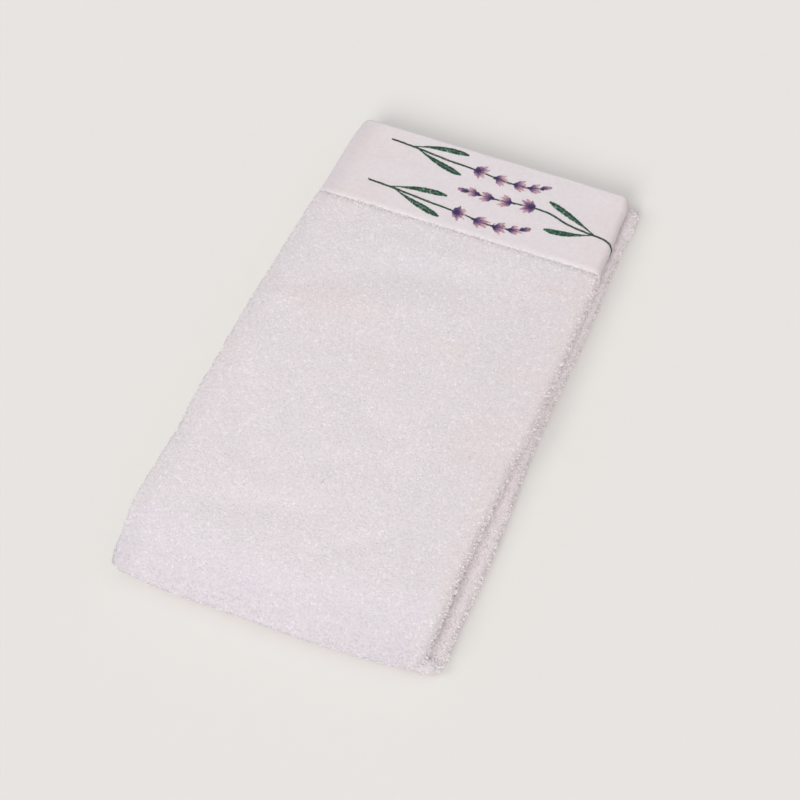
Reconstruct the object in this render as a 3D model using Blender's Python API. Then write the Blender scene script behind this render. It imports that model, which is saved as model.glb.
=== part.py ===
"""Folded hand towel: a terry cloth, and a plain-woven band sewn over one of its ends.

The flat cloth has three coordinates: across its width, from its middle, along its length, from
the band's end, and depth, from its face to its back. The long sides are turned under to the
middle, and then the cloth is folded in half across, with the band's end on top. fold() takes
flat coordinates to the folded towel. +X is across, +Y runs from the near fold to the far end,
+Z is up, and the origin is under the middle of the towel.
"""

import bpy
import numpy as np

# Driving sizes, in metres
FOLDED_WIDTH = 0.250
FOLDED_LENGTH = 0.476
LOWER_LENGTH = 0.479  # the lower ply reaches a little past the band
STACK_HEIGHT = 0.034  # at the near fold, before the plies settle
TERRY = 0.0065  # thickness with its loops
LAYER_GAP = 0.0008  # between the face and the flaps turned under it
FLAP_GAP = 0.004  # between the two side edges, which meet under the middle
BAND_WIDTH = 0.093
BAND = 0.0010  # thickness of the band's cloth
SEWN_GAP = 0.0003  # between the band and the terry inside it
PLAIN_HEM = 0.011  # turned and pressed end of the lower ply
HEM_ROUND = 0.0016

# How the real towel lies: side stations from the near fold. Millimetres.
# left, right: how far each long side stands outside a straight edge
# under: how far the lower ply's right side stands out past the top ply's
# height: of the whole stack, at its left and right sides
SIDE_COLUMNS = ("station", "left", "right", "under", "left_height", "right_height")
SIDES = (
    (0, -6.6, -6.4, 4.6, 29.6, 29.6),
    (3, -6.0, -3.6, 7.0, 29.7, 29.7),
    (8, -5.8, -1.6, 9.2, 30.2, 30.2),
    (17, -5.6, -0.8, 10.3, 30.9, 30.9),
    (30, -3.2, -0.9, 10.1, 31.5, 31.6),
    (45, -0.4, -1.1, 10.1, 31.6, 32.0),
    (85, 0.2, -1.8, 11.4, 30.6, 31.1),
    (130, 0.2, -1.4, 10.4, 29.6, 30.4),
    (155, 2.2, -0.7, 8.7, 29.6, 30.1),
    (182, 1.8, -0.7, 7.1, 29.7, 30.0),
    (215, 2.5, 2.5, 3.1, 30.0, 30.2),
    (260, 2.0, 2.2, 3.6, 30.4, 30.4),
    (310, 1.2, 2.1, 4.5, 30.0, 30.2),
    (360, 0.5, 1.9, 4.7, 29.4, 29.8),
    (400, -1.0, 0.8, 4.8, 29.0, 29.6),
    (430, -1.5, 0.3, 5.0, 28.9, 29.4),
    (450, -2.0, -0.5, 7.0, 28.8, 29.2),
    (466, -3.0, -1.0, 8.2, 28.8, 29.0),
    (476, -5.0, -3.0, 9.0, 28.8, 28.8),
)

FOLD_BOW = 0.0084  # how far the middle of the near fold stands in front of its ends
BOW_REACH = 0.16
NEAR_CORNER = 0.0050  # how far the near fold's left corner stands in front of the bow
CORNER_REACH = 0.07
END_SKEW = 0.0015  # the far end's left corner reaches further than its right one
FLAP_SLIP = 0.003  # the turned-under flaps end short of the face
CENTRE = (0.0035, 0.2356)  # of the towel's box, before it is moved to the origin

# Mesh divisions
FACE_STEPS, TURN_STEPS, FLAP_STEPS = 12, 6, 4
TOP_STEPS, FOLD_STEPS, LOWER_STEPS = 14, 8, 12
BAND_STEPS, BAND_END_STEPS = 5, 4

# Worked out from the sizes above
PLY = 2 * TERRY + LAYER_GAP
TURN_RADIUS = PLY / 2
FOLD_RADIUS = STACK_HEIGHT / 2
FACE_HALF = FOLDED_WIDTH / 2 - TURN_RADIUS
TURN_LENGTH = np.pi * (TURN_RADIUS - TERRY / 2)
HALF_CUT = FACE_HALF + TURN_LENGTH + FACE_HALF - FLAP_GAP / 2
TOP_LENGTH = FOLDED_LENGTH - FOLD_RADIUS
BEND_LENGTH = np.pi * (FOLD_RADIUS - TERRY / 2)
CUT_LENGTH = TOP_LENGTH + BEND_LENGTH + LOWER_LENGTH - FOLD_RADIUS


def ease(start, end, value):
    """0 before start, 1 after end, and smooth between."""
    part = np.clip((value - start) / (end - start), 0, 1)
    return part * part * (3 - 2 * part)


def turn_sides(across, depth):
    """The long sides turned under: the place across, and the depth below the towel's face."""
    out = np.abs(across)
    angle = np.clip((out - FACE_HALF) / TURN_LENGTH * np.pi, 0, np.pi)
    turned = out > FACE_HALF
    x = np.where(turned, FACE_HALF + (TURN_RADIUS - depth) * np.sin(angle), out)
    below = np.where(turned, TURN_RADIUS - (TURN_RADIUS - depth) * np.cos(angle), depth)
    x = x - np.maximum(out - FACE_HALF - TURN_LENGTH, 0)
    return np.sign(across) * x, below


def fold_across(along, below):
    """The near fold: the place from the near fold to the far end, and the height."""
    angle = np.clip((along - TOP_LENGTH) / BEND_LENGTH, 0, 1) * np.pi
    before = along < TOP_LENGTH
    reach = FOLD_RADIUS - below
    y = np.where(before, FOLDED_LENGTH - along, FOLD_RADIUS - reach * np.sin(angle))
    z = np.where(before, STACK_HEIGHT - below, FOLD_RADIUS + reach * np.cos(angle))
    return y + np.maximum(along - TOP_LENGTH - BEND_LENGTH, 0), z


def side_column(name, y):
    """A column of SIDES, in metres, at these places: a smooth line through its rows."""
    rows = np.array(SIDES) / 1000
    stations = rows[:, 0]
    values = rows[:, SIDE_COLUMNS.index(name)]
    slopes = np.gradient(values, stations)
    y = np.clip(y, stations[0], stations[-1])
    index = np.clip(np.searchsorted(stations, y) - 1, 0, len(stations) - 2)
    step = stations[index + 1] - stations[index]
    t = (y - stations[index]) / step
    rise = values[index + 1] - values[index]
    a = slopes[index] * step - rise
    b = rise - slopes[index + 1] * step
    return values[index] + rise * t + t * (1 - t) * (a * (1 - t) + b * t)


def settle(x, y, z, below):
    """The uneven way the towel lies, as one smooth shift that keeps its layers apart."""
    to_right = 0.5 + x / FOLDED_WIDTH
    middle = STACK_HEIGHT - 2 * PLY
    lower = 1 - ease(PLY, PLY + middle, z)
    right = side_column("right", y) + side_column("under", y) * lower
    left_height = side_column("left_height", y)
    height = left_height + (side_column("right_height", y) - left_height) * to_right
    drop = (STACK_HEIGHT - height) * np.clip((z - PLY) / middle, 0, 1)
    far = ease(0.6 * FOLDED_LENGTH, FOLDED_LENGTH, y)
    near = 1 - ease(0, BOW_REACH, y)
    bow = FOLD_BOW * (1 - (2 * x / FOLDED_WIDTH) ** 2) * near
    corner = NEAR_CORNER * ease(0.55, 0.95, 1 - to_right) * (1 - ease(0, CORNER_REACH, y))
    skew = END_SKEW * (1 - 2 * to_right) * far
    slip = FLAP_SLIP * np.clip(below / PLY, 0, 1) * far
    new_x = x + right * to_right - side_column("left", y) * (1 - to_right)
    return new_x - CENTRE[0], y - bow - corner + skew - slip - CENTRE[1], z - drop


def fold(across, along, depth):
    """Flat cloth coordinates to points of the folded towel, one row each."""
    across, along, depth = np.broadcast_arrays(across, along, depth)
    x, below = turn_sides(across, depth)
    y, z = fold_across(along, below)
    return np.stack(settle(x, y, z, below), axis=-1)


def spread(*stretches):
    """Places through stretches of (start, end, steps), each place once."""
    runs = [np.linspace(start, end, steps, endpoint=False) for start, end, steps in stretches]
    return np.append(np.concatenate(runs), stretches[-1][1])


def places_across():
    """The mesh's places across the flat cloth, from its left edge to its right edge."""
    flat_flap = FACE_HALF + TURN_LENGTH
    return spread(
        (-HALF_CUT, -flat_flap, FLAP_STEPS),
        (-flat_flap, -FACE_HALF, TURN_STEPS),
        (-FACE_HALF, FACE_HALF, FACE_STEPS),
        (FACE_HALF, flat_flap, TURN_STEPS),
        (flat_flap, HALF_CUT, FLAP_STEPS),
    )


def cloth(name, face, back, colour, roughness):
    """A closed sheet between two paths of (along, depth), which run side by side."""
    across = places_across()
    layers = []
    for path in (face, back):
        along, depth = np.array(path).T
        layers.append(fold(across[None, :], along[:, None], depth[:, None]))
    rows, columns = layers[0].shape[:2]
    points = np.concatenate([layer.reshape(-1, 3) for layer in layers])
    index = np.arange(2 * rows * columns).reshape(2, rows, columns)
    corners = []
    for side, grid in enumerate(index):
        quads = [grid[:-1, :-1], grid[:-1, 1:], grid[1:, 1:], grid[1:, :-1]]
        corners.append(np.stack(quads if side else quads[::-1], axis=-1).reshape(-1, 4))
    edges = (
        (index[0, 0], index[1, 0]),
        (index[1, -1], index[0, -1]),
        (index[1, :, 0], index[0, :, 0]),
        (index[0, :, -1], index[1, :, -1]),
    )
    for outer, inner in edges:
        quads = [outer[:-1], outer[1:], inner[1:], inner[:-1]]
        corners.append(np.stack(quads, axis=-1))
    mesh = bpy.data.meshes.new(name)
    mesh.from_pydata(points.tolist(), [], np.concatenate(corners).tolist())
    mesh.validate()
    mesh.shade_smooth()
    mesh.set_sharp_from_angle(angle=np.radians(40))
    mesh.materials.append(material(name, colour, roughness))
    bpy.context.scene.collection.objects.link(bpy.data.objects.new(name, mesh))


def material(name, colour, roughness):
    made = bpy.data.materials.new(name)
    made.use_nodes = True
    shader = made.node_tree.nodes["Principled BSDF"]
    shader.inputs["Base Color"].default_value = (*colour, 1)
    shader.inputs["Roughness"].default_value = roughness
    shader.inputs["Metallic"].default_value = 0
    return made


def terry():
    """The looped cloth: thin inside the band, full from the seam on, rounded at its plain end."""
    inside = BAND + SEWN_GAP
    pile_start = BAND_WIDTH + SEWN_GAP
    hem_start = CUT_LENGTH - PLAIN_HEM
    band_run = spread((TERRY / 2, pile_start, BAND_STEPS))
    pile_run = spread(
        (pile_start + HEM_ROUND, TOP_LENGTH, TOP_STEPS),
        (TOP_LENGTH, TOP_LENGTH + BEND_LENGTH, FOLD_STEPS),
        (TOP_LENGTH + BEND_LENGTH, hem_start, LOWER_STEPS),
        (hem_start, CUT_LENGTH - HEM_ROUND, 1),
    )
    stations = [(along, inside) for along in band_run]
    stations += [(along, 0) for along in pile_run]
    stations.append((CUT_LENGTH, HEM_ROUND))
    face = stations
    back = [(along, TERRY - depth) for along, depth in stations]
    cloth("terry", face, back, colour=(0.76, 0.70, 0.72), roughness=0.95)


def sleeve(inset):
    """A path from the back round the terry's end, this far inside the band's outer surface."""
    radius = TERRY / 2
    out = radius - inset
    flat_run = spread((radius, BAND_WIDTH, BAND_STEPS))
    path = [(along, TERRY - inset) for along in flat_run[::-1]]
    for angle in spread((0, np.pi, BAND_END_STEPS))[1:-1]:
        path.append((radius - out * np.sin(angle), radius + out * np.cos(angle)))
    path += [(along, inset) for along in flat_run]
    return path


def band():
    """The plain-woven strip, folded over the terry's end."""
    cloth("band", sleeve(0), sleeve(BAND), colour=(0.74, 0.66, 0.67), roughness=0.8)


for old in list(bpy.data.objects):
    bpy.data.objects.remove(old)
terry()
band()
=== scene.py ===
"""Looks of the folded hand towel: looped terry, and a smooth end band with embroidered sprigs.

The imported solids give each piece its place. The cloth's flat coordinates are those of the solids:
across its width, from its middle, along its length, from the band's end, and depth, from its face
to its back. fold() takes them to the folded towel, and everything here is laid on the cloth in flat
coordinates first. Lengths are in metres; a table in millimetres says so.
"""

import bpy
import numpy as np
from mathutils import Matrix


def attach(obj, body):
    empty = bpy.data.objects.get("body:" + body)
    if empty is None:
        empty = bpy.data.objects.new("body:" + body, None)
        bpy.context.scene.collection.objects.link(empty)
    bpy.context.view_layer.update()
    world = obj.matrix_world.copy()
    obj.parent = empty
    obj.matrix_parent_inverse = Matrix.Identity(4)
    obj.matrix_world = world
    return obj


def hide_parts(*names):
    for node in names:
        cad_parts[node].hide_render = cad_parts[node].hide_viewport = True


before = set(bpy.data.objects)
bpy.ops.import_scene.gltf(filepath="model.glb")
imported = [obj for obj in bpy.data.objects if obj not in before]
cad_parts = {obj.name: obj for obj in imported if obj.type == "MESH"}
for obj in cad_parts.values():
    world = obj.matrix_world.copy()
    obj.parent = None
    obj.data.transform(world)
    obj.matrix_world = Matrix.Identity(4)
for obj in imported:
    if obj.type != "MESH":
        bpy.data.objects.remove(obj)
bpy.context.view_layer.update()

# The folded towel, as its solids have it
FOLDED_WIDTH = 0.250
FOLDED_LENGTH = 0.476
LOWER_LENGTH = 0.479
STACK_HEIGHT = 0.034  # before settle() lowers it
TERRY = 0.0065
LAYER_GAP = 0.0008
FLAP_GAP = 0.004
BAND_WIDTH = 0.093
FOLD_BOW = 0.0084
BOW_REACH = 0.16
NEAR_CORNER = 0.0050
CORNER_REACH = 0.07
CORNER_SHARES = (0.55, 0.95)  # of the width, towards the left, over which the corner comes in
END_SKEW = 0.0015
FAR_SHARE = 0.6  # of the length, from which the far end goes askew
FLAP_SLIP = 0.003
CENTRE = (0.0035, 0.2356)

# Side stations from the near fold, in millimetres: how far each side stands out, how much further
# the lower ply's right side does, and the height of the stack at its left and right sides
SIDE_COLUMNS = ("station", "left", "right", "under", "left_height", "right_height")
SIDES = (
    (0, -6.6, -6.4, 4.6, 29.6, 29.6),
    (3, -6.0, -3.6, 7.0, 29.7, 29.7),
    (8, -5.8, -1.6, 9.2, 30.2, 30.2),
    (17, -5.6, -0.8, 10.3, 30.9, 30.9),
    (30, -3.2, -0.9, 10.1, 31.5, 31.6),
    (45, -0.4, -1.1, 10.1, 31.6, 32.0),
    (85, 0.2, -1.8, 11.4, 30.6, 31.1),
    (130, 0.2, -1.4, 10.4, 29.6, 30.4),
    (155, 2.2, -0.7, 8.7, 29.6, 30.1),
    (182, 1.8, -0.7, 7.1, 29.7, 30.0),
    (215, 2.5, 2.5, 3.1, 30.0, 30.2),
    (260, 2.0, 2.2, 3.6, 30.4, 30.4),
    (310, 1.2, 2.1, 4.5, 30.0, 30.2),
    (360, 0.5, 1.9, 4.7, 29.4, 29.8),
    (400, -1.0, 0.8, 4.8, 29.0, 29.6),
    (430, -1.5, 0.3, 5.0, 28.9, 29.4),
    (450, -2.0, -0.5, 7.0, 28.8, 29.2),
    (466, -3.0, -1.0, 8.2, 28.8, 29.0),
    (476, -5.0, -3.0, 9.0, 28.8, 28.8),
)

PLY = 2 * TERRY + LAYER_GAP
TURN_RADIUS = PLY / 2
FOLD_RADIUS = STACK_HEIGHT / 2
FACE_HALF = FOLDED_WIDTH / 2 - TURN_RADIUS
TURN_LENGTH = np.pi * (TURN_RADIUS - TERRY / 2)
FLAP_START = FACE_HALF + TURN_LENGTH
HALF_CUT = FLAP_START + FACE_HALF - FLAP_GAP / 2
TOP_LENGTH = FOLDED_LENGTH - FOLD_RADIUS
BEND_LENGTH = np.pi * (FOLD_RADIUS - TERRY / 2)
LOWER_START = TOP_LENGTH + BEND_LENGTH
CUT_LENGTH = LOWER_START + LOWER_LENGTH - FOLD_RADIUS

SEAM_HALF = 0.0006  # half the breadth of the step from band to pile

# Stretches over which something comes in: start and end, in metres of flat cloth
STRETCHES = {
    # along, from the band's end
    "past_band": (BAND_WIDTH - SEAM_HALF, BAND_WIDTH + SEAM_HALF),
    "sewn_edge": (BAND_WIDTH - 0.0035, BAND_WIDTH),
    "past_tufts": (BAND_WIDTH + 0.001, BAND_WIDTH + 0.004),
    "near_half": (0.22, 0.44),
    "less_pink": (TOP_LENGTH - 0.055, TOP_LENGTH - 0.005),
    "first_turn": (TOP_LENGTH - 0.014, TOP_LENGTH),
    "turn": (TOP_LENGTH - 0.003, TOP_LENGTH + 0.010),
    "upright": (TOP_LENGTH + 0.002, TOP_LENGTH + 0.014),
    "turned_under": (TOP_LENGTH + 0.026, TOP_LENGTH + 0.036),
    "pink_again": (LOWER_START - 0.02, LOWER_START),
    "upright_end": (LOWER_START - 0.006, LOWER_START),
    "underside": (LOWER_START - 0.012, LOWER_START + 0.004),
    # across, out from the middle
    "right_half": (0.03, 0.10),
    "band_left": (FACE_HALF - 0.020, FACE_HALF + 0.006),
    "left_side": (FACE_HALF - 0.016, FACE_HALF + 0.004),
    "pink_side": (FACE_HALF - 0.014, FACE_HALF + 0.004),
    "out_of_stack": (FACE_HALF - 0.010, FACE_HALF + 0.002),
    "fringe": (FACE_HALF - 0.001, FACE_HALF + 0.004),
    "right_side": (FACE_HALF - 0.001, FACE_HALF + 0.006),
    "fringe_end": (FLAP_START + 0.008, FLAP_START + 0.012),
    "hidden_flap": (FLAP_START + 0.012, FLAP_START + 0.018),
}

# Random unevenness: the size of its lumps in metres, and the seed of its draws
UNEVENNESS = {
    "ground": (0.021, 5),
    "dents": (0.024, 11),
    "small_dents": (0.011, 12),
    "pucker": (0.012, 13),
    "stitch_dents": (0.0042, 14),
    "clump": (0.0055, 23),
    "lean": (0.012, 24),
    "tuft": (0.0042, 25),
    "lump": (0.0036, 26),
    "wide_lump": (0.0085, 27),
    "seam_tuft": (0.0050, 28),
    "blush": (0.024, 31),
    "small_blush": (0.011, 32),
    "patch_edge": (0.007, 33),
}
PLACES_SEED = 21
PILE_SEED = 22
EMBROIDERY_SEED = 41

# Soft troughs (positive) and ridges (negative) in the terry, in millimetres: place of the middle,
# angle in degrees from across, half length, half width and depth
CREASE_COLUMNS = ("across", "along", "angle", "length", "width", "depth")
CREASES = (
    (-62, 172, -34, 34, 13, 0.90),
    (5, 148, -8, 55, 13, 0.90),
    (-10, 122, -6, 60, 11, -0.50),
    (-36, 398, -17, 42, 11, 1.00),
    (44, 402, -35, 24, 7, 0.90),
    (96, 220, 88, 90, 9, 0.60),
    (98, 350, 86, 75, 9, 0.55),
    (-6, 231, 0, 20, 9, 0.60),
    (20, 300, 15, 20, 9, 0.60),
    (0, 345, -20, 24, 11, 0.60),
    (-80, 330, 70, 45, 12, 0.60),
    (-20, 190, -15, 60, 12, -0.60),
)

# Embroidery, in millimetres. A sprig is drawn from its cut end: points of its stem, up to its tip,
# and its two leaves, as (start on the stem, across and along of the tip, bulge)
LONG_SPRIG = {
    "stem": ((0, 0), (28, 2), (55, 5), (84, 7), (113, 10), (134, 8), (150, 0)),
    "leaves": ((21, 69, -7, -2.5), (25, 71, 17, 1.1)),
}
BENT_SPRIG = {
    "stem": ((0, 0), (-12, -6), (-23, -7), (-43, -10), (-61, -16), (-110, -14), (-145, -13)),
    "leaves": ((-19, -65, -29, 0.6), (-21, -60, 2, -2.4)),
}
# Where the cut ends lie on the flat band: across and along
SPRIG_PLACES = ((LONG_SPRIG, -91, 16), (LONG_SPRIG, -91, 67), (BENT_SPRIG, 127, 62))
# Every sprig's flower heads, from the largest to the bud: share of the stem's length, petal
# length, half the angle the petals open to, and number of petals
HEAD_COLUMNS = ("place", "length", "opening", "petals")
HEADS = (
    (0.548, 11.0, 112, 9),
    (0.662, 13.8, 40, 5),
    (0.774, 13.0, 38, 5),
    (0.864, 12.0, 34, 4),
    (0.930, 9.8, 9, 3),
)
WIDE_OPEN = 90  # degrees, past which a head has a wider calyx
BUD_OPENING = 20  # degrees, under which a head is a bud
PETAL_THREADS = 9
CALYX_THREADS = 16
LEAF_LENGTH = 44  # about; it sets how many stitches a leaf has
LEAF_WIDTH = 3.1  # half of it, at the widest place
RIB_FLECKS = 0.30  # share of a leaf's stitches that are pale at the rib
EDGE_FLECKS = 0.22  # and at the edge
LEAF_POINTS = 300  # on a stem, to find where a leaf starts
STEM_POINTS = 260
HEAD_POINTS = 200
STITCH_GAP = 0.62  # from one leaf stitch to the next
THREAD = 0.00036  # half the thread's width, in metres
THREAD_SIDES = 4
STITCH_LIFT = 0.00030  # in metres
STITCH_SHARES = (0.0, 0.2, 0.5, 0.8, 1.0)  # a stitch's points, along its length
STITCH_LIFTS = (-0.35, 0.65, 1.0, 0.65, -0.35)  # their height, as shares of STITCH_LIFT

# Band
BAND_INSET = 0.00040  # its face lies this far inside its CAD surface
BAND_END_INSET = 0.00025
BAND_BACK_INSET = 0.0003
BAND_SHEET = 0.0008
DENTS = 0.00024
SMALL_DENTS = 0.00013
STITCH_DENTS = 0.00016
STITCH_REACH = 0.006  # how far round the embroidery the cloth is dented
RIDGE = 0.00012  # beside the seam, inside the band
RIDGE_PLACE = 0.0045
RIDGE_WIDTH = 0.0022
SEWN_DROP = 0.0006  # how far the seam draws the edge down
PUCKER = 0.6
WEAVE_PITCH = 0.00055
# painted shade on the band's rolled left side, as a share of its tone
BAND_LEFT_SHADE = 0.42

# Pile
GROUND_INSET = 0.0009  # the woven ground lies this far inside the pile's tips
PRESSED_INSET = 0.0006  # under the towel, where its weight presses the pile flat
BANDED_INSET = 0.0024  # inside the band
GROUND_BACK = 0.0013
GROUND_UNEVEN = 0.00016
BARE_HEM = 0.0012  # at the cloth's plain end
PILE_REACH = 0.014  # how far round the flaps loops are laid
TOP_PLY_REACH = 0.003  # and how far on the upper ply, whose flaps are out of sight
FIRST_ROW = 0.0004  # before the band's edge
LAST_ROW = 0.0015  # before the plain end
LOOP_PITCH = 0.0020
LOOP_JITTER = 0.45  # off a regular weave, as a share of the pitch
LOOP_HEIGHT = 0.0008
LOOP_WIDTH = 0.0021
LOOP_ANGLES = (-35, 25, 90, 155, 215)  # the points of a loop's arch, in degrees
LOOP_SIDES = 3
LOOP_STRAY = 0.00022  # how far those points stray from a plane arch
YARN = 0.00070  # half the yarn's width
YARN_FLATNESS = 0.38  # its height, as a share of its width
LOOP_FOOT = 0.0004  # how deep the loops' feet stand in the ground
LUMP = 0.00013  # how far the pile's lumps rise and sink
LUMP_SHARES = (0.7, 0.3)  # of the small and the wide ones
LOOPS_A_PIECE = 11000
HIDDEN = 0.6  # of covered(), above which no loop is laid
FREE_HEIGHT = 0.0007  # how much longer loops are on the turned sides
TUFT = 0.0014  # how much longer still a tuft's loops are there
SEAM_TUFT = 0.0009  # how much longer the loops beside the band are
LEFT_FRINGE = 0.35  # of the right side's
FLOOR_GAP = 0.0002

# How the pile takes light
FIBRE_SOFTNESS = 0.74  # how far a loop is shaded as the cloth it stands on
FRINGE_SOFTNESS = 0.30  # how much less on the turned sides
BEND_SOFTNESS = 0.08  # how much more round the near fold
FRINGE_UPRIGHT = 1.5  # how far shading turns upwards on the turned sides
FRINGE_GAIN = 2.4
BEND_UPRIGHT = 0.9  # and round the near fold
WHITE_TONE = 0.40  # how much lighter the whitest loops are
TONE_DROP = 0.10
FRINGE_TONE = 0.3  # how much more the loops differ on the turned sides
# painted light: the loops of the taller clumps are lighter by this much
CLUMP_PAINTED_LIGHT = 0.07

# The cotton's colour, from its most lilac white to its pinkest
COTTON_TINTS = (
    (0.0, (0.932, 0.864, 0.916)),
    (0.5, (0.945, 0.876, 0.901)),
    (1.0, (0.954, 0.855, 0.871)),
)
LIGHTNESS = 0.848  # of those tints, on the face near the fold
DARKEST = 0.60  # of those tints, where tone is 0
# Shares of that lightness that the cloth loses as painted shade, and that its turned right side
# gains as painted light
FAR_SHADE = 0.045
LEFT_SHADE = 0.06
RIGHT_HALF_SHADE = 0.02
FIRST_TURN_SHADE = 0.04
TURN_SHADE = 0.16
RIGHT_LIGHT = 0.08
# Where it is pinker than its middle tint, or more lilac (negative), in millimetres: place of the
# patch's middle, half its size across and along, and how much
PATCH_COLUMNS = ("across", "along", "wide", "long", "pink")
PATCHES = (
    (-62, 200, 28, 13, 0.50),
    (-98, 206, 16, 14, 0.28),
    (46, 210, 16, 9, 0.28),
    (94, 212, 16, 11, 0.40),
    (97, 284, 17, 28, 0.62),
    (88, 124, 24, 8, 0.30),
    (0, 243, 22, 11, 0.20),
    (-2, 139, 62, 10, -0.26),
    (-84, 78, 26, 16, 0.45),
    (-100, 30, 26, 30, 0.30),
    (112, 60, 12, 60, 0.30),
)
UNEVEN_BLUSH = 0.10
RAGGED_PATCH = 0.5
MIDDLE_TINT = 0.5
PINK_SIDE = 0.50
NEAR_LESS_PINK = 0.42

# Thread colours, by hue
GREENS = (
    (0.0, (0.030, 0.060, 0.042)),
    (0.25, (0.013, 0.085, 0.046)),
    (0.6, (0.024, 0.120, 0.066)),
    (1.0, (0.400, 0.560, 0.440)),
)
MAUVES = (
    (0.0, (0.045, 0.020, 0.110)),
    (0.3, (0.120, 0.060, 0.200)),
    (0.65, (0.500, 0.285, 0.370)),
    (1.0, (0.760, 0.510, 0.530)),
)

# How each material takes light
FINISH_COLUMNS = ("Roughness", "Specular_IOR_Level", "Sheen_Weight", "Sheen_Roughness")
FINISHES = {
    "terry_cotton": (0.95, 0.15, 0.25, 0.6),
    "terry_ground": (1.0, 0.1, 0.2, 0.6),
    "band_cotton": (0.8, 0.25, 0.15, 0.5),
    "leaf_thread": (0.5, 0.25, 0.1, 0.4),
    "petal_thread": (0.5, 0.3, 0.1, 0.4),
    "floor_paint": (0.9, 0.1, 0.0, 0.5),
}

# Light, floor and camera
WHITE = (1.0, 1.0, 1.0)
FLOOR_COLOUR = (0.803, 0.785, 0.758)
FLOOR_GRAIN = 0.995  # its darkest grain, as a share of that
FLOOR_HALF = 6.0
ROOM_LIGHT = 0.49
LIGHT_COLOUR = (1.0, 0.995, 0.99)
LIGHT_COLUMNS = ("name", "strength", "spread", "tilt", "turn")  # angles in degrees
LIGHTS = (
    ("front", 1.62, 25, 58, 0),
    ("left", 0.64, 25, 42, -50),
    ("top", 0.28, 60, 12, 160),
)
CAMERA_AZIMUTH = 22.18
CAMERA_ELEVATION = 53.27
CAMERA_DISTANCE = 1.4287
CAMERA_TARGET = (0.0121, -0.0117, 0.0)
CAMERA_LENS = 81.72
SENSOR = 36.0


# --- The fold ---


def ease(start, end, value):
    """0 before start, 1 after end, and smooth between."""
    part = np.clip((value - start) / (end - start), 0, 1)
    return part * part * (3 - 2 * part)


def stretch(name, value):
    """0 before the named stretch, 1 after it, and smooth between."""
    return ease(*STRETCHES[name], value)


def turn_sides(across, depth):
    """The long sides turned under: the place across, and the depth below the towel's face."""
    out = np.abs(across)
    angle = np.clip((out - FACE_HALF) / TURN_LENGTH * np.pi, 0, np.pi)
    turned = out > FACE_HALF
    x = np.where(turned, FACE_HALF + (TURN_RADIUS - depth) * np.sin(angle), out)
    below = np.where(turned, TURN_RADIUS - (TURN_RADIUS - depth) * np.cos(angle), depth)
    x = x - np.maximum(out - FACE_HALF - TURN_LENGTH, 0)
    return np.sign(across) * x, below


def fold_across(along, below):
    """The near fold: the place from the near fold to the far end, and the height."""
    angle = np.clip((along - TOP_LENGTH) / BEND_LENGTH, 0, 1) * np.pi
    before = along < TOP_LENGTH
    reach = FOLD_RADIUS - below
    y = np.where(before, FOLDED_LENGTH - along, FOLD_RADIUS - reach * np.sin(angle))
    z = np.where(before, STACK_HEIGHT - below, FOLD_RADIUS + reach * np.cos(angle))
    return y + np.maximum(along - TOP_LENGTH - BEND_LENGTH, 0), z


def side_column(name, y):
    """A column of SIDES, in metres, at these places: a smooth line through its rows."""
    rows = np.array(SIDES) / 1000
    stations = rows[:, 0]
    values = rows[:, SIDE_COLUMNS.index(name)]
    slopes = np.gradient(values, stations)
    y = np.clip(y, stations[0], stations[-1])
    index = np.clip(np.searchsorted(stations, y) - 1, 0, len(stations) - 2)
    step = stations[index + 1] - stations[index]
    t = (y - stations[index]) / step
    rise = values[index + 1] - values[index]
    a = slopes[index] * step - rise
    b = rise - slopes[index + 1] * step
    return values[index] + rise * t + t * (1 - t) * (a * (1 - t) + b * t)


def settle(x, y, z, below):
    """The uneven way the towel lies, as one smooth shift that keeps its layers apart."""
    to_right = 0.5 + x / FOLDED_WIDTH
    middle = STACK_HEIGHT - 2 * PLY
    lower = 1 - ease(PLY, PLY + middle, z)
    right = side_column("right", y) + side_column("under", y) * lower
    left_height = side_column("left_height", y)
    height = left_height + (side_column("right_height", y) - left_height) * to_right
    drop = (STACK_HEIGHT - height) * np.clip((z - PLY) / middle, 0, 1)
    far = ease(FAR_SHARE * FOLDED_LENGTH, FOLDED_LENGTH, y)
    near = 1 - ease(0, BOW_REACH, y)
    bow = FOLD_BOW * (1 - (2 * x / FOLDED_WIDTH) ** 2) * near
    to_left = ease(*CORNER_SHARES, 1 - to_right)
    corner = NEAR_CORNER * to_left * (1 - ease(0, CORNER_REACH, y))
    skew = END_SKEW * (1 - 2 * to_right) * far
    slip = FLAP_SLIP * np.clip(below / PLY, 0, 1) * far
    new_x = x + right * to_right - side_column("left", y) * (1 - to_right)
    return new_x - CENTRE[0], y - bow - corner + skew - slip - CENTRE[1], z - drop


def fold(across, along, depth):
    """Flat cloth coordinates to points of the folded towel."""
    across, along, depth = np.broadcast_arrays(across, along, depth)
    x, below = turn_sides(across, depth)
    y, z = fold_across(along, below)
    return np.stack(settle(x, y, z, below), axis=-1)


# --- Unevenness ---


def mottle(across, along, kind):
    """Smooth random unevenness from -1 to 1, as UNEVENNESS gives this kind."""
    size, seed = UNEVENNESS[kind]
    cells = 257
    grid = np.random.default_rng(seed).uniform(-1, 1, (cells, cells))
    u = (across / size) % (cells - 1)
    v = (along / size) % (cells - 1)
    i, j = u.astype(int), v.astype(int)
    s, t = ease(0, 1, u - i), ease(0, 1, v - j)
    top = grid[i, j] * (1 - s) + grid[i + 1, j] * s
    bottom = grid[i, j + 1] * (1 - s) + grid[i + 1, j + 1] * s
    return top * (1 - t) + bottom * t


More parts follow.
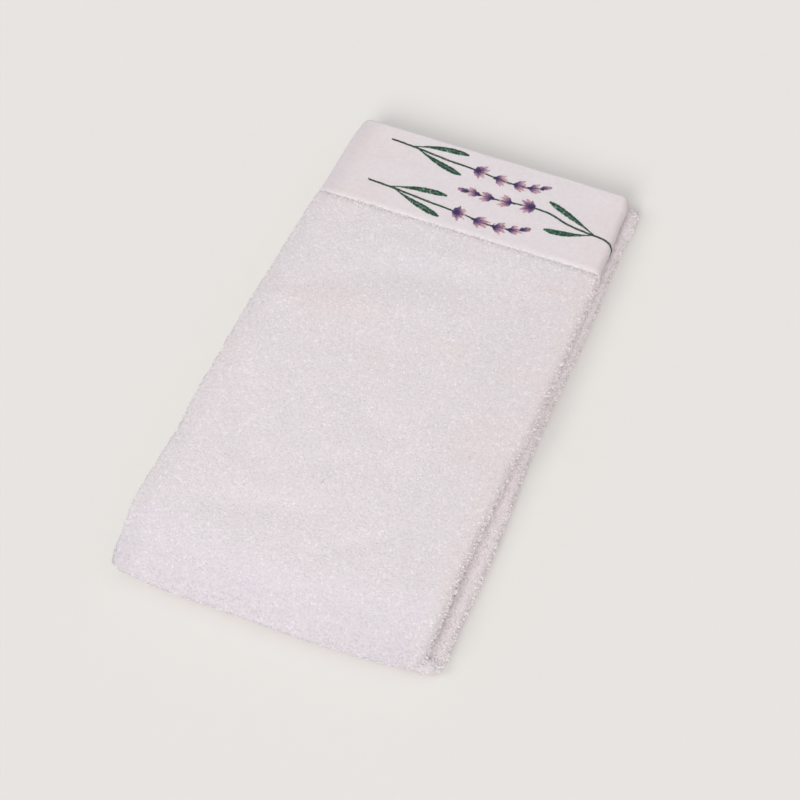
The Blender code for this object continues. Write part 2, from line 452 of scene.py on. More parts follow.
def creases(across, along):
    """How deep the troughs of CREASES are here; ridges count below zero."""
    total = np.zeros(np.broadcast(across, along).shape)
    for row in CREASES:
        crease = dict(zip(CREASE_COLUMNS, row))
        angle = np.radians(crease["angle"])
        east = across - crease["across"] / 1000
        north = along - crease["along"] / 1000
        length = (east * np.cos(angle) + north * np.sin(angle)) / (crease["length"] / 1000)
        width = (north * np.cos(angle) - east * np.sin(angle)) / (crease["width"] / 1000)
        total += crease["depth"] / 1000 * np.exp(-(length**2) - width**2)
    return total


def covered(across, along):
    """1 where the cloth lies against the floor or another layer, 0 where it shows."""
    out = np.abs(across)
    inside = stretch("underside", along) * (1 - stretch("out_of_stack", out))
    return np.maximum(inside, stretch("hidden_flap", out))


def blush(across, along):
    """How pink it is, from 0 to 1: in patches, more on the turned right, less near the fold."""
    patches = UNEVEN_BLUSH * mottle(across, along, "blush")
    patches = patches + UNEVEN_BLUSH * mottle(across, along, "small_blush")
    ragged = 1 + RAGGED_PATCH * mottle(across, along, "patch_edge")
    for row in PATCHES:
        patch = dict(zip(PATCH_COLUMNS, row))
        east = (across - patch["across"] / 1000) / (patch["wide"] / 1000)
        north = (along - patch["along"] / 1000) / (patch["long"] / 1000)
        patches = patches + patch["pink"] * ragged * np.exp(-(east**2) - north**2)
    near = stretch("less_pink", along) * (1 - stretch("pink_again", along))
    side = PINK_SIDE * stretch("pink_side", across)
    return np.clip(MIDDLE_TINT + patches + side - NEAR_LESS_PINK * near, 0, 1)


def lightness(across, along):
    """The cotton's lightness: 0 stands for DARKEST of its tint, and 1 for all of it.

    This is painted shade and painted light: it is less at the far end, round the near fold and on
    the left, and more on the turned right.
    """
    turn = FIRST_TURN_SHADE * stretch("first_turn", along) + TURN_SHADE * stretch("turn", along)
    turn = turn * (1 - stretch("turned_under", along))
    far = FAR_SHADE * (1 - stretch("near_half", along))
    left = LEFT_SHADE * stretch("left_side", -across)
    right = stretch("right_side", across)
    right_half = RIGHT_HALF_SHADE * stretch("right_half", across) * (1 - right)
    share = 1 - far - turn - left - right_half + RIGHT_LIGHT * right
    return np.clip((LIGHTNESS * share - DARKEST) / (1 - DARKEST), 0, 1)


def ground_depth(across, along):
    """Depth of the woven ground below the CAD surface of the terry."""
    hidden = covered(across, along)
    inset = GROUND_INSET + (PRESSED_INSET - GROUND_INSET) * hidden
    soft = creases(across, along) + GROUND_UNEVEN * mottle(across, along, "ground")
    return inset + soft * (1 - hidden)


def band_depth(across, along):
    """Depth of the band's face below its CAD surface: soft dents, and the sewn edge drawn down."""
    dents = DENTS * mottle(across, along, "dents")
    dents = dents + SMALL_DENTS * mottle(across, along, "small_dents")
    drawn = np.exp(-((stitched_distance(across, along) / STITCH_REACH) ** 2))
    dents = dents + STITCH_DENTS * drawn * mottle(across, along, "stitch_dents")
    ridge = np.exp(-(((along - BAND_WIDTH + RIDGE_PLACE) / RIDGE_WIDTH) ** 2))
    pucker = 1 + PUCKER * mottle(across, along, "pucker")
    sewn = SEWN_DROP * stretch("sewn_edge", along)
    return BAND_INSET + dents - RIDGE * ridge * pucker + sewn * pucker


def placed_sprigs():
    """The sprigs in the band's own flat places."""
    placed = []
    for sprig, across, along in SPRIG_PLACES:
        stem = [(across + x, along + y) for x, y in sprig["stem"]]
        leaves = []
        for start, x, y, bulge in sprig["leaves"]:
            leaves.append((across + start, across + x, along + y, bulge))
        placed.append({"stem": stem, "leaves": leaves})
    return placed


def smooth_line(points, steps):
    """A smooth line through points, as evenly spread places, and its whole length."""
    points = np.array(points, float)
    stations = np.append(0, np.cumsum(np.linalg.norm(np.diff(points, axis=0), axis=1)))
    slopes = np.gradient(points, stations, axis=0)
    t = np.linspace(0, stations[-1], steps)
    index = np.clip(np.searchsorted(stations, t) - 1, 0, len(points) - 2)
    gap = (stations[index + 1] - stations[index])[:, None]
    part = (t[:, None] - stations[index][:, None]) / gap
    rise = points[index + 1] - points[index]
    a = slopes[index] * gap - rise
    b = rise - slopes[index + 1] * gap
    line = points[index] + rise * part + part * (1 - part) * (a * (1 - part) + b * part)
    return line, stations[-1]


def leaf_line(sprig, leaf, steps):
    """The middle line of a leaf, from the stem to the leaf's tip."""
    start, tip_across, tip_along, bulge = leaf
    stem = smooth_line(sprig["stem"], LEAF_POINTS)[0]
    root = stem[np.argmin(np.abs(stem[:, 0] - start))]
    reach = np.array([tip_across, tip_along]) - root
    side = np.array([-reach[1], reach[0]]) / np.linalg.norm(reach)
    t = np.linspace(0, 1, steps)[:, None]
    return root + reach * t + side * bulge * 4 * t * (1 - t)


def stitched_distance(across, along):
    """Distance to the nearest stem or leaf of the embroidery, in metres."""
    lines = []
    for sprig in placed_sprigs():
        lines.append(smooth_line(sprig["stem"], 40)[0])
        for leaf in sprig["leaves"]:
            lines.append(leaf_line(sprig, leaf, 12))
    marks = np.concatenate(lines) / 1000
    across, along = np.broadcast_arrays(across, along)
    nearest = np.full(across.shape, 1.0)
    for mark in marks:
        nearest = np.minimum(nearest, np.hypot(across - mark[0], along - mark[1]))
    return nearest


# --- Meshes ---


def make_mesh(name, points, corners, material, smooth=True):
    """A mesh object from points and from faces that all have the same number of corners."""
    corners = np.asarray(corners)
    mesh = bpy.data.meshes.new(name)
    mesh.vertices.add(len(points))
    mesh.vertices.foreach_set("co", np.asarray(points, np.float32).ravel())
    mesh.loops.add(corners.size)
    mesh.loops.foreach_set("vertex_index", corners.astype(np.int32).ravel())
    mesh.polygons.add(len(corners))
    starts = np.arange(len(corners), dtype=np.int32) * corners.shape[1]
    mesh.polygons.foreach_set("loop_start", starts)
    mesh.update(calc_edges=True)
    mesh.validate()
    if smooth:
        mesh.shade_smooth()
    mesh.materials.append(material)
    made = bpy.data.objects.new(name, mesh)
    bpy.context.scene.collection.objects.link(made)
    return made


def set_values(made, name, values):
    """One number for each point of the mesh, which its material reads by name."""
    attribute = made.data.attributes.new(name, "FLOAT", "POINT")
    attribute.data.foreach_set("value", np.asarray(values, np.float32).ravel())


def set_flat_map(made, across, along):
    """The cloth's flat coordinates, in metres, as the mesh's UV map."""
    index = np.empty(len(made.data.loops), np.int32)
    made.data.loops.foreach_get("vertex_index", index)
    flat = np.stack([across.ravel()[index], along.ravel()[index]], axis=-1)
    layer = made.data.uv_layers.new(name="flat")
    layer.data.foreach_set("uv", flat.astype(np.float32).ravel())


def spread(*stretches):
    """Places through stretches of (start, end, steps), each place once."""
    runs = [np.linspace(start, end, steps, endpoint=False) for start, end, steps in stretches]
    return np.append(np.concatenate(runs), stretches[-1][1])


def closed_sheet(name, across, face, back, material):
    """A closed sheet between two surfaces, each an (along, depth) pair of grids."""
    layers = [fold(across, along, depth) for along, depth in (face, back)]
    rows, columns = layers[0].shape[:2]
    index = np.arange(2 * rows * columns).reshape(2, rows, columns)
    corners = []
    for side, grid in enumerate(index):
        quads = [grid[:-1, :-1], grid[:-1, 1:], grid[1:, 1:], grid[1:, :-1]]
        corners.append(np.stack(quads if side else quads[::-1], axis=-1).reshape(-1, 4))
    edges = (
        (index[0, 0], index[1, 0]),
        (index[1, -1], index[0, -1]),
        (index[1, :, 0], index[0, :, 0]),
        (index[0, :, -1], index[1, :, -1]),
    )
    for outer, inner in edges:
        quads = [outer[:-1], outer[1:], inner[1:], inner[:-1]]
        corners.append(np.stack(quads, axis=-1))
    points = np.concatenate([layer.reshape(-1, 3) for layer in layers])
    made = make_mesh(name, points, np.concatenate(corners), material)
    flat_across = np.broadcast_to(across, (rows, columns))
    both_along = [np.broadcast_to(along, (rows, columns)) for along, _ in (face, back)]
    set_flat_map(made, np.stack([flat_across, flat_across]), np.stack(both_along))
    return made


def strands(paths, aside, half_width, half_height, sides):
    """Points and triangles of closed strands, pointed at both ends.

    paths holds (strand, point, xyz). aside is the direction of half_width, one for each strand.
    """
    count, places = paths.shape[:2]
    ahead = np.gradient(paths, axis=1)
    ahead /= np.linalg.norm(ahead, axis=2, keepdims=True)
    aside = aside[:, None, :] - ahead * np.sum(aside[:, None, :] * ahead, axis=2, keepdims=True)
    aside /= np.linalg.norm(aside, axis=2, keepdims=True)
    up = np.cross(ahead, aside)
    angles = np.arange(sides) * 2 * np.pi / sides + np.pi / 2
    wide = aside[:, 1:-1, None] * np.cos(angles)[:, None] * half_width[:, None, None, None]
    high = up[:, 1:-1, None] * np.sin(angles)[:, None] * half_height[:, None, None, None]
    rings = paths[:, 1:-1, None] + wide + high
    one = [paths[:, :1], rings.reshape(count, -1, 3), paths[:, -1:]]
    points = np.concatenate(one, axis=1)
    ring = np.arange(sides)
    after = (ring + 1) % sides
    last = 1 + (places - 2) * sides
    faces = [np.stack([np.zeros(sides, int), 1 + after, 1 + ring], axis=-1)]
    for step in range(places - 3):
        near, far = 1 + step * sides, 1 + (step + 1) * sides
        faces.append(np.stack([near + ring, near + after, far + after], axis=-1))
        faces.append(np.stack([near + ring, far + after, far + ring], axis=-1))
    tail = last - sides
    faces.append(np.stack([tail + ring, tail + after, np.full(sides, last)], axis=-1))
    faces = np.concatenate(faces)
    shift = np.arange(count)[:, None, None] * points.shape[1]
    return points, (faces[None] + shift).reshape(-1, 3)


def frames(across, along, depth_at):
    """Point, direction across, direction along and outward normal of the surface at a depth.

    depth_at gives the depth at a flat place, so its troughs and lumps tilt the normal.
    """
    step = 0.0002
    here = fold(across, along, depth_at(across, along))
    east = fold(across + step, along, depth_at(across + step, along)) - here
    north = fold(across, along + step, depth_at(across, along + step)) - here
    east /= np.linalg.norm(east, axis=-1, keepdims=True)
    out = np.cross(north, east)
    out /= np.linalg.norm(out, axis=-1, keepdims=True)
    north = np.cross(east, out)
    return here, east, north, out


# --- Materials ---


class Shader:
    """A material's node tree, with short ways to add and join nodes."""

    def __init__(self, name):
        self.material = bpy.data.materials.new(name)
        self.material.use_nodes = True
        self.tree = self.material.node_tree
        self.surface = self.tree.nodes["Principled BSDF"]
        self.set(**dict(zip(FINISH_COLUMNS, FINISHES[name])))

    def add(self, kind, inputs=(), **settings):
        node = self.tree.nodes.new(kind)
        for name, value in settings.items():
            setattr(node, name, value)
        for name, value in dict(inputs).items():
            self.put(node.inputs[name], value)
        return node

    def put(self, socket, value):
        if isinstance(value, bpy.types.NodeSocket):
            self.tree.links.new(value, socket)
        else:
            socket.default_value = value

    def set(self, **values):
        for name, value in values.items():
            self.put(self.surface.inputs[name.replace("_", " ")], value)

    def place(self):
        return self.add("ShaderNodeTexCoord").outputs["Object"]

    def value(self, name):
        return self.add("ShaderNodeAttribute", attribute_name=name).outputs["Fac"]

    def noise(self, place, scale, detail):
        inputs = {"Vector": place, "Scale": scale, "Detail": detail}
        return self.add("ShaderNodeTexNoise", inputs).outputs["Fac"]

    def math(self, operation, a, b=0.0):
        return self.add("ShaderNodeMath", {0: a, 1: b}, operation=operation).outputs[0]

    def ramp(self, value, *stops):
        node = self.add("ShaderNodeValToRGB", {"Fac": value})
        elements = node.color_ramp.elements
        while len(elements) < len(stops):
            elements.new(0.5)
        for element, (place, colour) in zip(elements, stops):
            element.position = place
            element.color = (*colour, 1)
        return node.outputs["Color"]

    def multiply(self, a, b):
        node = self.add("ShaderNodeMix", data_type="RGBA", blend_type="MULTIPLY")
        for name, value in (("Factor", 1.0), ("A", a), ("B", b)):
            self.put(next(s for s in node.inputs if s.name == name and s.enabled), value)
        return next(s for s in node.outputs if s.enabled)

    def bump(self, height, distance, strength=1.0):
        inputs = {"Height": height, "Distance": distance, "Strength": strength}
        return self.add("ShaderNodeBump", inputs).outputs["Normal"]


def grey(level):
    return (level, level, level)


def cotton_colour(shader, darkest, lightest):
    """The cotton's tint, which runs with "blush", times a shade that runs with "tone": random tone,
    and painted shade and painted light.
    """
    tint = shader.ramp(shader.value("blush"), *COTTON_TINTS)
    shade = shader.ramp(shader.value("tone"), (0.0, darkest), (1.0, lightest))
    return shader.multiply(tint, shade)


def terry_material():
    """Looped cotton, white with a breath of pink that comes and goes."""
    shader = Shader("terry_cotton")
    fibres = shader.noise(shader.place(), 2600, 2)
    shader.set(
        Base_Color=cotton_colour(shader, grey(DARKEST), WHITE),
        Normal=shader.bump(fibres, 0.0002, 0.6),
    )
    return shader.material


def ground_material():
    """The woven ground between the loops."""
    shader = Shader("terry_ground")
    lumps = shader.noise(shader.place(), 420, 3)
    # painted shade: the ground is a little darker where the lumps of its bump sink
    shade = shader.ramp(lumps, (0.3, (0.975, 0.97, 0.972)), (0.7, WHITE))
    shader.set(
        Base_Color=shader.multiply(cotton_colour(shader, grey(DARKEST), WHITE), shade),
        Normal=shader.bump(lumps, 0.0003),
    )
    return shader.material


def band_material():
    """Plain-woven cotton: fine threads both ways, with slubs and a faint blush."""
    shader = Shader("band_cotton")
    flat = shader.add("ShaderNodeUVMap", uv_map="flat").outputs["UV"]
    split = shader.add("ShaderNodeSeparateXYZ", {"Vector": flat})
    threads = []
    for axis in ("X", "Y"):
        turns = shader.math("MULTIPLY", split.outputs[axis], 2 * np.pi / WEAVE_PITCH)
        threads.append(shader.math("SINE", turns))
    weave = shader.math("MULTIPLY", threads[0], threads[1])
    slubs = shader.noise(flat, 900, 2)
    height = shader.math("ADD", weave, shader.math("MULTIPLY", slubs, 1.6))
    mean = shader.math("MULTIPLY", shader.math("ADD", slubs, shader.noise(flat, 260, 3)), 0.5)
    shade = shader.ramp(mean, (0.3, (0.89, 0.88, 0.885)), (0.7, WHITE))
    shader.set(
        Base_Color=shader.multiply(cotton_colour(shader, (0.60, 0.60, 0.61), grey(0.85)), shade),
        Normal=shader.bump(height, 0.00005, 0.6),
    )
    return shader.material


def thread_material(name, colours):
    """Embroidery thread: its colour runs with "hue" and lightens or darkens with "tone"."""
    shader = Shader(name)
    fibres = shader.noise(shader.place(), 3500, 2)
    light = shader.ramp(shader.value("tone"), (0.0, grey(0.72)), (1.0, WHITE))
    shader.set(
        Base_Color=shader.multiply(shader.ramp(shader.value("hue"), *colours), light),
        Normal=shader.bump(fibres, 0.0001, 0.7),
    )
    return shader.material


# --- Pieces ---


def places_across(face, turn, flap):
    """Places across the whole cloth, with these numbers of steps."""
    return spread(
        (-HALF_CUT, -FLAP_START, flap),
        (-FLAP_START, -FACE_HALF, turn),
        (-FACE_HALF, FACE_HALF, face),
        (FACE_HALF, FLAP_START, turn),
        (FLAP_START, HALF_CUT, flap),
    )


def terry_sheet(material):
    """The woven ground that carries the loops; inside the band it is the whole cloth."""
    across = places_across(face=44, turn=8, flap=8)[None, :]
    seam_start, seam_end = STRETCHES["past_band"]
    along = spread(
        (TERRY / 2, seam_start, 8),
        (seam_start, seam_end, 2),
        (seam_end, TOP_LENGTH, 60),
        (TOP_LENGTH, LOWER_START, 16),
        (LOWER_START, CUT_LENGTH - BARE_HEM, 60),
    )[:, None]
    inside = 1 - stretch("past_band", along)
    depth = ground_depth(across, along) * (1 - inside) + BANDED_INSET * inside
    back = TERRY - GROUND_BACK
    made = closed_sheet("terry_ground", across, (along, depth), (along, back), material)
    set_values(made, "blush", np.stack([blush(across, along)] * 2))
    # tone holds the painted shade and painted light of lightness()
    set_values(made, "tone", np.stack([lightness(across, along)] * 2))
    return made


def band_sheet(material):
    """The band: from its seam on the face, round the cloth's end, to its seam on the back."""
    across = places_across(face=110, turn=10, flap=8)[None, :]
    radius = TERRY / 2
    rounds = spread((0, np.pi, 10))[1:-1, None]
    face_run = spread((radius, BAND_WIDTH, 46))[:, None]
    back_run = spread((radius, BAND_WIDTH, 12))[::-1, None]
    surfaces = []
    for inset in (0.0, BAND_SHEET):
        out = radius - inset - BAND_END_INSET
        sunk = band_depth(across, face_run) + inset
        end_along = radius - out * np.sin(rounds) + 0 * across
        end_depth = radius + out * np.cos(rounds) + 0 * across
        back_depth = TERRY - BAND_BACK_INSET - inset + 0 * back_run * across
        along = np.concatenate([back_run + 0 * across, end_along, face_run + 0 * across])
        depth = np.concatenate([back_depth, end_depth, sunk])
        surfaces.append((along, depth))
    made = closed_sheet("band_cloth", across, surfaces[0], surfaces[1], material)
    # painted shade: the band's rolled left side is darker
    tone = 1 - BAND_LEFT_SHADE * stretch("band_left", -across)
    set_values(made, "blush", np.stack([blush(across, along) for along, _ in surfaces]))
    set_values(made, "tone", np.stack([tone + 0 * along for along, _ in surfaces]))
    return made


def loop_places():
    """Where the loops stand, as rows of flat coordinates, jittered off a regular weave."""
    random = np.random.default_rng(PLACES_SEED)
    edge = FLAP_START + PILE_REACH
    rows = np.arange(BAND_WIDTH - FIRST_ROW, CUT_LENGTH - LAST_ROW, LOOP_PITCH)
    columns = np.arange(-edge, edge, LOOP_PITCH)
    across, along = np.meshgrid(columns, rows)
    across = across + random.uniform(-LOOP_JITTER, LOOP_JITTER, across.shape) * LOOP_PITCH
    along = along + random.uniform(-LOOP_JITTER, LOOP_JITTER, along.shape) * LOOP_PITCH
    keep = covered(across, along) < HIDDEN
    top_ply = along < TOP_LENGTH
    hidden_flap = top_ply & (np.abs(across) > FLAP_START + TOP_PLY_REACH)
    keep &= ~hidden_flap & (along > BAND_WIDTH - SEAM_HALF)
    return across[keep], along[keep]


def side_fringe(across):
    """1 on the turned sides, where the loops stand free; less on the left one."""
    out = np.abs(across)
    turned = stretch("fringe", out) * (1 - stretch("fringe_end", out))
    return turned * np.where(across > 0, 1.0, LEFT_FRINGE)


def foot_depth(across, along):
    """Depth of the loops' feet: sunk in the ground, which their lumps lift and lower."""
    small, wide = (mottle(across, along, kind) for kind in ("lump", "wide_lump"))
    lumps = LUMP_SHARES[0] * small + LUMP_SHARES[1] * wide
    loose = side_fringe(across)
    return ground_depth(across, along) + LOOP_FOOT * (1 - loose) + LUMP * lumps


def loop_heights(across, along, loose, clump, random):
    """How high the loops are: uneven, and longer on the turned sides and beside the band."""
    height = LOOP_HEIGHT * (1 + 0.16 * clump + random.normal(0, 0.10, len(across)))
    tuft = np.clip(mottle(across, along, "tuft") + 0.2, 0, 1)
    height += loose * (FREE_HEIGHT + TUFT * tuft)
    seam_tuft = np.clip(mottle(across, along, "seam_tuft") + 0.4, 0, 1)
    return height + (1 - stretch("past_tufts", along)) * SEAM_TUFT * seam_tuft


def pile(material):
    """The loops, each a closed arch of yarn that leans its own way."""
    across, along = loop_places()
    random = np.random.default_rng(PILE_SEED)
    count = len(across)
    loose = side_fringe(across)
    here, east, north, out = frames(across, along, foot_depth)
    clump = mottle(across, along, "clump")
    height = loop_heights(across, along, loose, clump, random)
    wide = LOOP_WIDTH * random.uniform(0.75, 1.25, count)
    turn = random.uniform(0, 2 * np.pi, count)
    lean_to = 2 * np.pi * mottle(across, along, "lean") + random.normal(0, 0.9, count)
    lean = np.clip(random.normal(0.5, 0.3, count), 0, 1.3) * (1 - 0.5 * loose)
    facing = east * np.cos(turn)[:, None] + north * np.sin(turn)[:, None]
    leaning = east * np.cos(lean_to)[:, None] + north * np.sin(lean_to)[:, None]
    up = out * np.cos(lean)[:, None] + leaning * np.sin(lean)[:, None]
    aside = np.cross(up, facing)
    path = []
    for angle in np.radians(LOOP_ANGLES):
        stray = random.normal(0, LOOP_STRAY, count)
        level = facing * (np.cos(angle) * wide / 2)[:, None]
        rise = up * (np.sin(angle) * height)[:, None]
        path.append(here + (level + rise) + aside * stray[:, None])
    paths = np.stack(path, axis=1)
    yarn = YARN * random.uniform(0.85, 1.25, count)
    points, faces = strands(paths, aside, yarn, YARN_FLATNESS * yarn, LOOP_SIDES)
    points[..., 2] = np.maximum(points[..., 2], FLOOR_GAP)
    white = random.uniform(0, 1, count) ** 3
    differing = (WHITE_TONE * white - TONE_DROP) * (1 + FRINGE_TONE * loose)
    # the loops' random tone, the painted shade and light of lightness(), and painted light on the
    # taller clumps
    tone = lightness(across, along) + differing + CLUMP_PAINTED_LIGHT * clump
    values = {"tone": tone, "blush": blush(across, along)}
    bend = stretch("upright", along) * (1 - stretch("upright_end", along))
    lift = FRINGE_UPRIGHT * np.clip(FRINGE_GAIN * loose, 0, 1)
    lift = np.maximum(lift, BEND_UPRIGHT * bend)
    upright = out + lift[:, None] * np.array([0.0, 0.0, 1.0])
    upright /= np.linalg.norm(upright, axis=1, keepdims=True)
    softness = FIBRE_SOFTNESS * (1 - FRINGE_SOFTNESS * loose) + BEND_SOFTNESS * bend * (1 - loose)
    shading = soft_normals(points, paths, LOOP_SIDES, upright, softness)
    return cut_pieces("pile", points, faces, values, LOOPS_A_PIECE, material, shading)


def soft_normals(points, paths, sides, out, share):
    """Shading between the strands' own roundness and the cloth's: loose fibres scatter light."""
    rings = np.repeat(paths[:, 1:-1], sides, axis=1)
    middles = np.concatenate([paths[:, :1], rings, paths[:, -1:]], axis=1)
    own = points - middles
    own /= np.maximum(np.linalg.norm(own, axis=2, keepdims=True), 1e-6)
    share = share[:, None, None]
    return own * (1 - share) + out[:, None, :] * share


def cut_pieces(name, points, faces, values, most, material, shading=None):
    """Strands as several objects, with at most this many strands each.

    values has numbers for the strands, or for their points, by the name the material reads.
    """
    count, each = points.shape[:2]
    per_strand = len(faces) // count
    made = []
    pieces = -(-count // most)
    for number, chunk in enumerate(np.array_split(np.arange(count), pieces)):
        first, last = chunk[0], chunk[-1] + 1
        corners = faces[first * per_strand : last * per_strand] - first * each
        placed = points[first:last].reshape(-1, 3)
        piece = make_mesh(f"{name}_{number}" if pieces > 1 else name, placed, corners, material)
        for key, numbers in values.items():
            own = np.asarray(numbers)[first:last].reshape(last - first, -1)
            set_values(piece, key, np.broadcast_to(own, (last - first, each)))
        if shading is not None:
            normals = shading[first:last].reshape(-1, 3)
            piece.data.normals_split_custom_set_from_vertices(normals.tolist())
        made.append(piece)
    return made


def stitches(name, rows, material):
    """Stitches on the band's face. rows: (from, to, tone, hue at its start, hue at its end)."""
    start = np.array([row[0] for row in rows]) / 1000
    end = np.array([row[1] for row in rows]) / 1000
    tone, hue_start, hue_end = np.array([row[2:5] for row in rows]).T
    shares = np.array(STITCH_SHARES)
    lifts = np.array(STITCH_LIFTS) * STITCH_LIFT
    places = start[:, None] + (end - start)[:, None] * shares[:, None]
    across, along = places[..., 0], places[..., 1]
    paths = fold(across, along, band_depth(across, along) - lifts)
    middle = (start + end) / 2
    out = frames(middle[:, 0], middle[:, 1], band_depth)[3]
    ahead = paths[:, -1] - paths[:, 0]
    random = np.random.default_rng(len(rows))
    half = THREAD * random.uniform(0.85, 1.15, len(rows))
    points, faces = strands(paths, np.cross(out, ahead), half, 0.6 * half, THREAD_SIDES)
    ring_shares = np.concatenate([[0.0], np.repeat(shares[1:-1], THREAD_SIDES), [1.0]])
    hue = hue_start[:, None] + (hue_end - hue_start)[:, None] * ring_shares
    return cut_pieces(name, points, faces, {"tone": tone, "hue": hue}, len(rows), material)


def directions(line):
    """Unit directions along a flat line, and to its side."""
    ahead = np.gradient(line, axis=0)
    ahead /= np.linalg.norm(ahead, axis=1, keepdims=True)
    return ahead, np.stack([-ahead[:, 1], ahead[:, 0]], axis=1)


def leaf_stitches(sprig, leaf, random):
    """Satin stitches slanting from a leaf's middle line to both of its edges."""
    steps = int(LEAF_LENGTH / STITCH_GAP)
    line = leaf_line(sprig, leaf, steps)
    ahead, side = directions(line)
    t = np.linspace(0, 1, steps)
    widening = 0.15 + 0.85 * ease(0.05, 0.62, t)
    half = LEAF_WIDTH * widening * (1 - ease(0.76, 1.10, t)) ** 0.8
    rows = []
    for sign in (1, -1):
        for place, along, out, width in zip(line, ahead, side, half):
            reach = width * random.uniform(0.86, 1.14)
            start = place - out * sign * 0.25 - along * 0.3
            end = place + out * sign * reach + along * (0.55 * reach + 0.4)
            rib, edge = random.uniform(0.15, 0.55), random.uniform(0.0, 0.30)
            if random.uniform() < RIB_FLECKS:
                rib = random.uniform(0.75, 1.0)
            if random.uniform() < EDGE_FLECKS:
                edge = random.uniform(0.70, 1.0)
            rows.append((start, end, random.uniform(0.0, 1), rib, edge))
    return rows


def stem_stitches(sprig, random):
    """Short overlapping stitches down a stem, darkest at its cut end."""
    line, _ = smooth_line(sprig["stem"], STEM_POINTS)
    ahead, side = directions(line)
    rows = []
    for number in range(2, STEM_POINTS - 10):
        share = number / STEM_POINTS
        thick = 0.95 - 0.40 * ease(0.40, 0.60, share)
        offset = thick * (1 if number % 2 else -1) * random.uniform(0.6, 1.1)
        reach = ahead[number] * random.uniform(1.0, 1.5)
        start = line[number] + side[number] * offset - reach
        end = line[number] + side[number] * offset * 0.3 + reach
        hue = 0.0 if share < 0.2 else random.uniform(0.0, 0.22)
        rows.append((start, end, random.uniform(0.3, 1), hue, hue))
    return rows


def head_stitches(sprig, head, random):
    """A flower head: petals that open towards the stem's tip, and a dark calyx at their foot."""
    line, _ = smooth_line(sprig["stem"], HEAD_POINTS)
    number = int(head["place"] * (HEAD_POINTS - 1))
    ahead = line[number + 2] - line[number - 2]
    heading = np.arctan2(ahead[1], ahead[0])
    foot = line[number]
    opening = np.radians(head["opening"])
    bud = float(head["opening"] < BUD_OPENING)
    middle_thread = PETAL_THREADS // 2
    rows = []
    for turn in np.linspace(-opening, opening, head["petals"]):
        back = float(ease(1.0, 1.9, abs(turn)))
        turn = turn + random.normal(0, 0.06)
        length = head["length"] * (1.03 - 0.22 * abs(turn) / opening) * random.uniform(0.86, 1.10)
        length = length * (1 - 0.42 * back)
        petal_hue = random.uniform(0.72, 1.0) - 0.45 * back - 0.25 * bud
        out = np.array([np.cos(heading + turn), np.sin(heading + turn)])
        aside = np.array([-out[1], out[0]])
        for thread in range(PETAL_THREADS):
            offset = (thread - middle_thread) / middle_thread
            near = random.uniform(0.12, 0.40) * length
            far = length * (1 - 0.24 * offset**2) * random.uniform(0.9, 1.05)
            start = foot + out * near + aside * offset * 0.9
            end = foot + out * far + aside * offset * 0.7
            middle = (start + end) / 2 + aside * offset * 1.15
            hue = np.clip(petal_hue + random.normal(0, 0.13), 0, 1)
            tone = random.uniform(0.1, 1)
            rows.append((start, middle + out * 0.6, tone, 0.16, 0.8 * hue))
            rows.append((middle - out * 0.6, end, tone, 0.8 * hue, hue))
        for thread in range(2):
            shift = aside * random.normal(0, 0.5)
            far = 0.5 * length * random.uniform(0.7, 1.3)
            rows.append((foot + shift, foot + shift + out * far, random.uniform(0, 0.5), 0.0, 0.3))
    wide = 1.0 + 0.9 * float(head["opening"] > WIDE_OPEN)
    for thread in range(int(CALYX_THREADS * wide)):
        angle = heading + random.normal(0, 0.4 * wide)
        out = np.array([np.cos(angle), np.sin(angle)])
        reach = 0.20 * head["length"]
        shift = random.normal(0, 0.55 * wide, 2)
        start, end = foot - out * reach * 0.7 + shift, foot + out * reach * 1.5 + shift
        rows.append((start, end, random.uniform(0, 0.6), 0.0, 0.12))
    return rows


def embroidery():
    """The three sprigs: green stems and leaves, and mauve flower heads."""
    random = np.random.default_rng(EMBROIDERY_SEED)
    green, mauve = [], []
    for sprig in placed_sprigs():
        for leaf in sprig["leaves"]:
            green += leaf_stitches(sprig, leaf, random)
        green += stem_stitches(sprig, random)
        for row in HEADS:
            mauve += head_stitches(sprig, dict(zip(HEAD_COLUMNS, row)), random)
    leaf_thread = thread_material("leaf_thread", GREENS)
    petal_thread = thread_material("petal_thread", MAUVES)
    return stitches("sprig_green", green, leaf_thread), stitches("sprig_mauve", mauve, petal_thread)


# --- Floor, light and camera ---


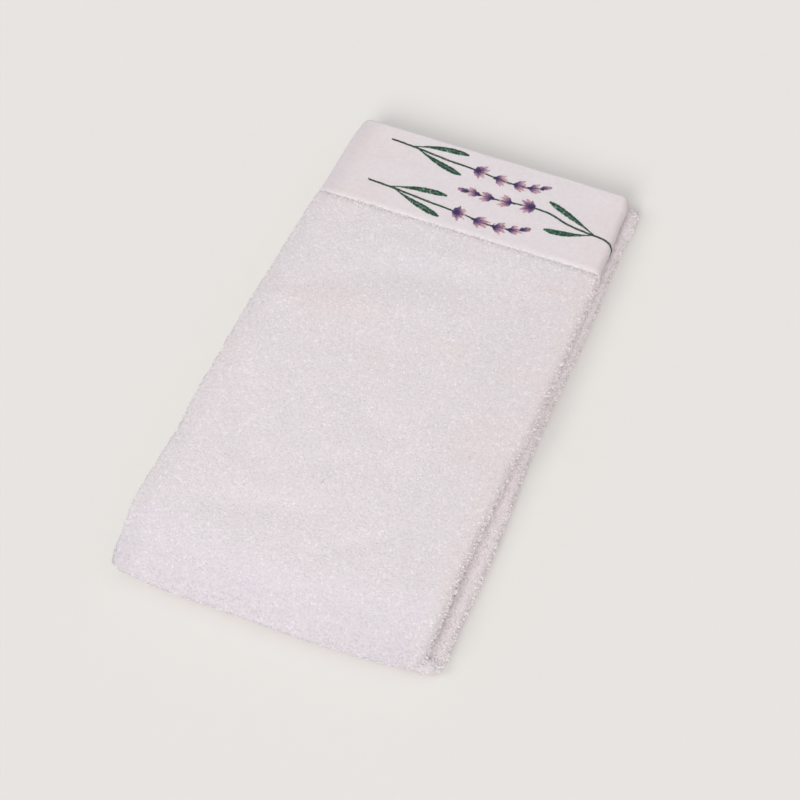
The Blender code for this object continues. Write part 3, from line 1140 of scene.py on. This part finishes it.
def floor():
    """A wide level floor of one plain colour, with a faint grain."""
    shader = Shader("floor_paint")
    grain = shader.noise(shader.place(), 60, 3)
    low = tuple(FLOOR_GRAIN * level for level in FLOOR_COLOUR)
    colour = shader.ramp(grain, (0.35, low), (0.65, FLOOR_COLOUR))
    shader.set(Base_Color=colour)
    half = FLOOR_HALF
    corners = [(-half, -half, 0), (half, -half, 0), (half, half, 0), (-half, half, 0)]
    made = make_mesh("floor", corners, [(0, 1, 2, 3)], shader.material, smooth=False)


def lights():
    """A white room, and wide lights from the front, the left and above."""
    world = bpy.data.worlds.new("studio")
    world.use_nodes = True
    background = world.node_tree.nodes["Background"]
    background.inputs["Color"].default_value = (*WHITE, 1)
    background.inputs["Strength"].default_value = ROOM_LIGHT
    bpy.context.scene.world = world
    for row in LIGHTS:
        lamp = dict(zip(LIGHT_COLUMNS, row))
        sun = bpy.data.lights.new(lamp["name"], "SUN")
        sun.energy = lamp["strength"]
        sun.angle = np.radians(lamp["spread"])
        sun.color = LIGHT_COLOUR
        made = bpy.data.objects.new(lamp["name"], sun)
        made.rotation_euler = (np.radians(lamp["tilt"]), 0, np.radians(lamp["turn"]))
        bpy.context.scene.collection.objects.link(made)
    view = bpy.context.scene.view_settings
    view.view_transform = "Standard"
    view.look = "None"


def camera():
    """The photo's viewpoint, above the near end and to its right."""
    data = bpy.data.cameras.new("camera")
    data.lens = CAMERA_LENS
    data.sensor_width = SENSOR
    made = bpy.data.objects.new("camera", data)
    azimuth, elevation = np.radians(CAMERA_AZIMUTH), np.radians(CAMERA_ELEVATION)
    level = np.cos(elevation)
    back = np.array([np.sin(azimuth) * level, -np.cos(azimuth) * level, np.sin(elevation)])
    made.location = np.array(CAMERA_TARGET) + CAMERA_DISTANCE * back
    made.rotation_euler = (np.pi / 2 - elevation, 0, azimuth)
    bpy.context.scene.collection.objects.link(made)
    bpy.context.scene.camera = made


camera()
lights()
floor()

cotton = terry_material()
ground = terry_sheet(ground_material())
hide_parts("terry")
band = band_sheet(band_material())
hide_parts("band")
loops = pile(cotton)
leaf_work, petal_work = embroidery()

for piece in [ground, *loops]:
    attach(piece, "root")
for piece in loops:
    # Loose fibres let direct and scattered light through to their neighbours
    piece.visible_shadow = False
    piece.visible_diffuse = False
for piece in [band, *leaf_work, *petal_work]:
    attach(piece, "root")
